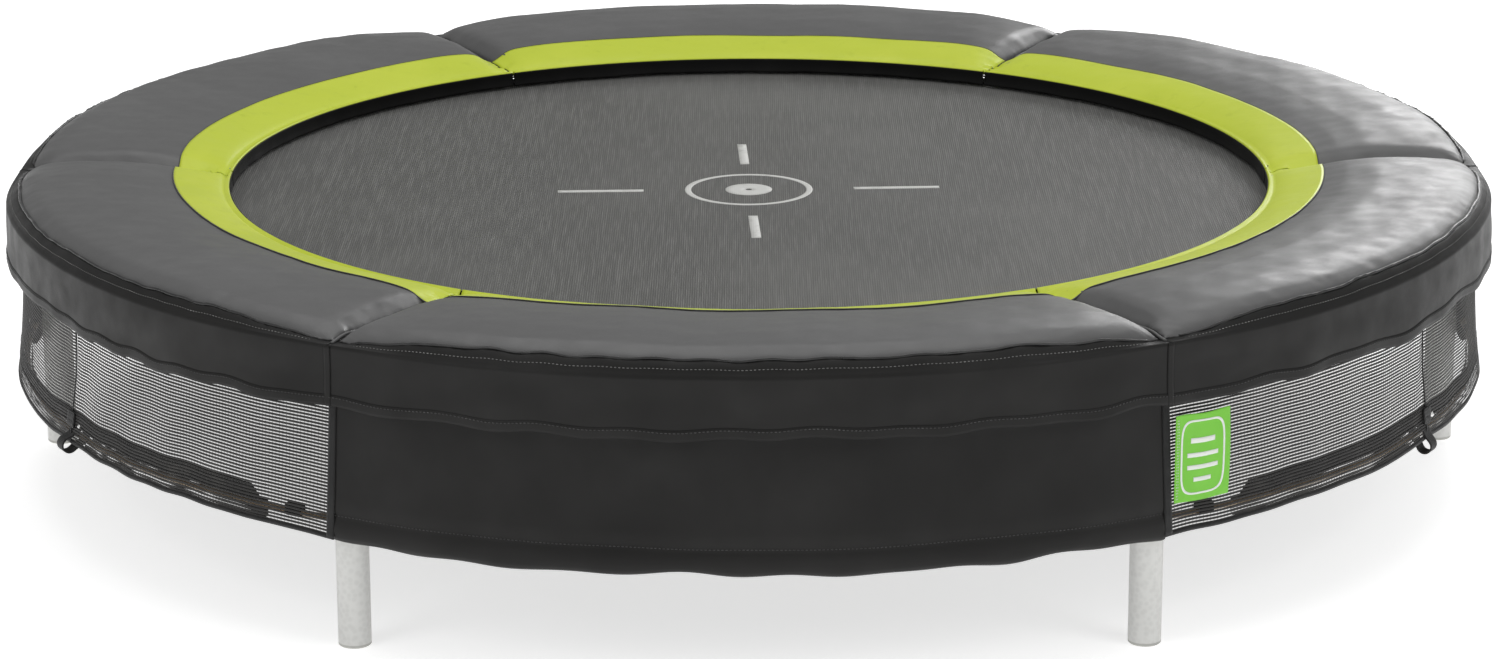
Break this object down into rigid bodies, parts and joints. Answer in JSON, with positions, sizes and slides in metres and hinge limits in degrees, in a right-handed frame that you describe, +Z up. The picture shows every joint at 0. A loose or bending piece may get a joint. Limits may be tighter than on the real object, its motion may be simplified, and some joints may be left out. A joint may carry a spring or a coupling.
{
  "type": "backyard trampoline",
  "caption": "Low round backyard trampoline with a woven mat on coil springs, padded rim with a lime inner edge, and a skirt of closed and net panels.",
  "frame": {"origin": "floor level in the middle of the ring", "axes": "+Z up, -Y towards the front, where a closed skirt panel is; +X to the right seen from the front"},
  "size_m": [1.8684, 1.8699, 0.385],
  "materials": {
    "galvanised_tube": "hot-dip galvanised, matt",
    "foot_plastic": "light grey moulded",
    "screw_steel": "zinc plated",
    "spring_steel": "zinc plated wire",
    "mat_weave": "woven polypropylene, slight sheen",
    "webbing": "black polyester webbing",
    "pad_cover": "dark grey coated cloth, satin",
    "lime_cover": "lime coated cloth, satin",
    "black_cover": "black coated cloth, satin",
    "elastic": "black knitted elastic",
    "net": "open knitted net",
    "glass_fibre_rod": "amber glass fibre",
    "rivet_metal": "bright",
    "label_cloth": "printed woven label"
  },
  "bodies": {
    "frame": {"rail_1": "galvanised_tube", "rail_2": "galvanised_tube", "rail_3": "galvanised_tube", "rail_4": "galvanised_tube", "rail_5": "galvanised_tube", "rail_6": "galvanised_tube", "leg_tee_1": "galvanised_tube", "leg_tee_2": "galvanised_tube", "leg_tee_3": "galvanised_tube", "leg_tee_4": "galvanised_tube", "leg_tee_5": "galvanised_tube", "leg_tee_6": "galvanised_tube", "leg_1": "galvanised_tube", "leg_2": "galvanised_tube", "leg_3": "galvanised_tube", "leg_4": "galvanised_tube", "leg_5": "galvanised_tube", "leg_6": "galvanised_tube", "leg_feet": "foot_plastic", "leg_screws": "screw_steel", "springs": "spring_steel", "pad_1": "pad_cover", "pad_2": "pad_cover", "pad_3": "pad_cover", "pad_4": "pad_cover", "pad_5": "pad_cover", "pad_6": "pad_cover", "trim_1": "lime_cover", "trim_2": "lime_cover", "trim_3": "lime_cover", "trim_4": "lime_cover", "trim_5": "lime_cover", "trim_6": "lime_cover", "valance_1": "black_cover", "valance_2": "black_cover", "valance_3": "black_cover", "valance_4": "black_cover", "valance_5": "black_cover", "valance_6": "black_cover", "pad_ties": "elastic", "closed_panel_1": "black_cover", "closed_panel_2": "black_cover", "closed_panel_3": "black_cover", "net_panel_1": "net", "net_panel_2": "net", "net_panel_3": "net", "hem_tapes": "webbing", "hem_rods": "glass_fibre_rod", "rod_ferrules": "screw_steel", "rod_straps": "webbing", "loop_straps": "webbing", "loop_rivets": "rivet_metal"},
    "mat": {"jump_mat": "mat_weave", "mat_edge": "webbing", "v_rings": "spring_steel"},
    "loop_front_left": {"peg_loop_1": "webbing"},
    "loop_front_right": {"peg_loop_2": "webbing"},
    "loop_back": {"peg_loop_3": "webbing"},
    "label": {"label_flap": "label_cloth"}
  },
  "joints": [
    {"name": "mat_bounce", "type": "slide", "parent": "frame", "child": "mat", "axis": [0, 0, 1], "range_m": [-0.12, 0], "stiffness_N_per_m": 4000, "springref_m": 0.0034, "deforming": ["springs"]},
    {"name": "loop_front_left_swing", "type": "hinge", "parent": "frame", "child": "loop_front_left", "pos_m": [-0.80029, -0.46205, 0.151], "axis": [-0.5, 0.866, 0], "range_deg": [-100, 28], "stiffness_Nm_per_rad": 0.02},
    {"name": "loop_front_right_swing", "type": "hinge", "parent": "frame", "child": "loop_front_right", "pos_m": [0.80029, -0.46205, 0.151], "axis": [-0.5, -0.866, 0], "range_deg": [-72, 56], "stiffness_Nm_per_rad": 0.02},
    {"name": "loop_back_swing", "type": "hinge", "parent": "frame", "child": "loop_back", "pos_m": [0, 0.9241, 0.151], "axis": [1, 0, 0], "range_deg": [-44, 84], "stiffness_Nm_per_rad": 0.02},
    {"name": "label_flap_swing", "type": "hinge", "parent": "frame", "child": "label", "pos_m": [0.47468, -0.80264, 0.224], "axis": [0, 0, -1], "range_deg": [0, 150], "stiffness_Nm_per_rad": 0.01}
  ]
}
